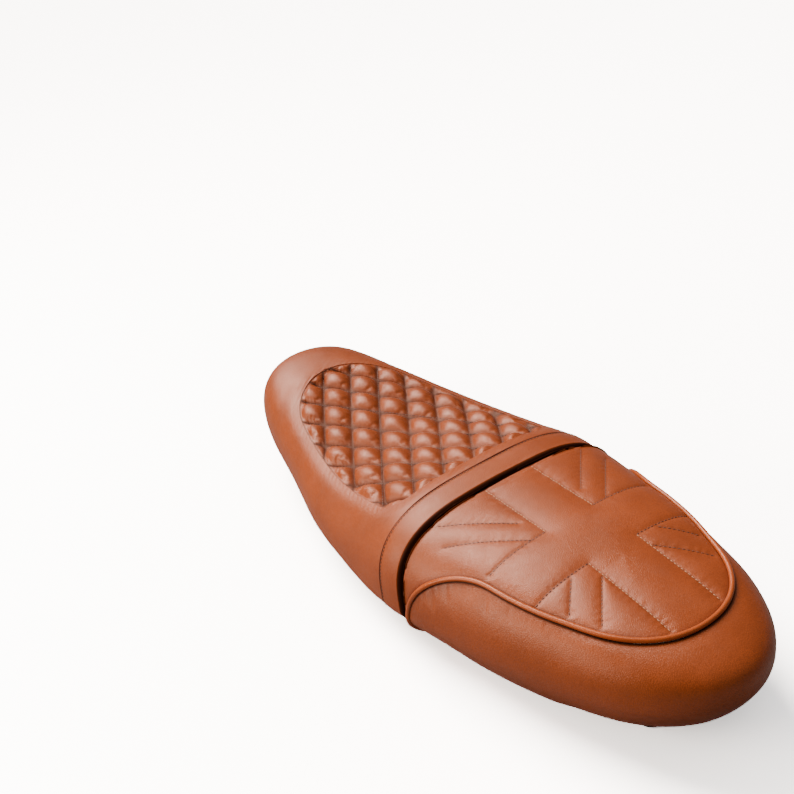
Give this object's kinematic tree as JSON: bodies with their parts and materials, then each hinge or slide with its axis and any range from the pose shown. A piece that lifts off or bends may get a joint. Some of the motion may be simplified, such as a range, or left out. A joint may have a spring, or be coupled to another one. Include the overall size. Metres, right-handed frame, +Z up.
{
  "type": "motorcycle seat",
  "caption": "Long two-module motorcycle seat in tan leather: a scooped rider seat with a diamond-quilted top and a rear band, and a pillion pad with a piped, line-stitched top.",
  "frame": {"origin": "under the middle of the seat's bounding box, on the plane that the rubber buffers stand on", "axes": "+X towards the nose (front of the motorcycle), +Y to the rider's left, +Z up"},
  "size_m": [0.6595, 0.2502, 0.1245],
  "materials": {
    "smooth_leather": "satin aniline leather, cognac tan, darker towards the hem and the tail",
    "quilted_leather": "satin tan leather quilted in diamonds over a thin foam",
    "stitched_leather": "satin tan leather with fine straight stitched lines",
    "piping_leather": "tan leather rolled over a cord",
    "moulded_foam": "moulded polyurethane foam",
    "quilt_foam": "thin sewing foam",
    "pan_plastic": "black moulded polypropylene with a fine texture",
    "buffer_rubber": "black rubber",
    "black_steel": "black powder-coated steel",
    "zinc_steel": "bright zinc-plated steel"
  },
  "bodies": {
    "pillion_pad": {"pillion_base_pan": "pan_plastic", "pillion_foam": "moulded_foam", "pillion_top_panel": "stitched_leather", "pillion_side_panel": "smooth_leather", "pillion_piping": "piping_leather", "pillion_front_wall": "smooth_leather", "pillion_front_buffer_left": "buffer_rubber", "pillion_front_buffer_right": "buffer_rubber", "pillion_rear_buffer_left": "buffer_rubber", "pillion_rear_buffer_right": "buffer_rubber", "front_tang_left": "black_steel", "front_tang_right": "black_steel", "tang_bolt_left": "zinc_steel", "tang_bolt_right": "zinc_steel", "rear_bracket": "black_steel", "bracket_bolt_left": "zinc_steel", "bracket_bolt_right": "zinc_steel", "weld_nut_left": "zinc_steel", "weld_nut_right": "zinc_steel"},
    "rider_seat": {"rider_base_pan": "pan_plastic", "rider_foam": "moulded_foam", "rider_quilt_backing": "quilt_foam", "rider_side_cover": "smooth_leather", "rider_quilt_panel": "quilted_leather", "rider_rear_band": "smooth_leather", "rider_rear_wall": "smooth_leather", "rider_front_buffer_left": "buffer_rubber", "rider_front_buffer_right": "buffer_rubber", "rider_rear_buffer_left": "buffer_rubber", "rider_rear_buffer_right": "buffer_rubber", "seat_tongue": "black_steel", "tongue_bolt_left": "zinc_steel", "tongue_bolt_right": "zinc_steel", "striker_plate": "black_steel", "striker_loop": "zinc_steel", "striker_bolt_left": "zinc_steel", "striker_bolt_right": "zinc_steel"}
  },
  "joints": [
    {"name": "rider_seat_tilt", "type": "hinge", "parent": "pillion_pad", "child": "rider_seat", "pos_m": [0.285, 0, 0.0115], "axis": [0, 1, 0], "range_deg": [0, 20]}
  ]
}
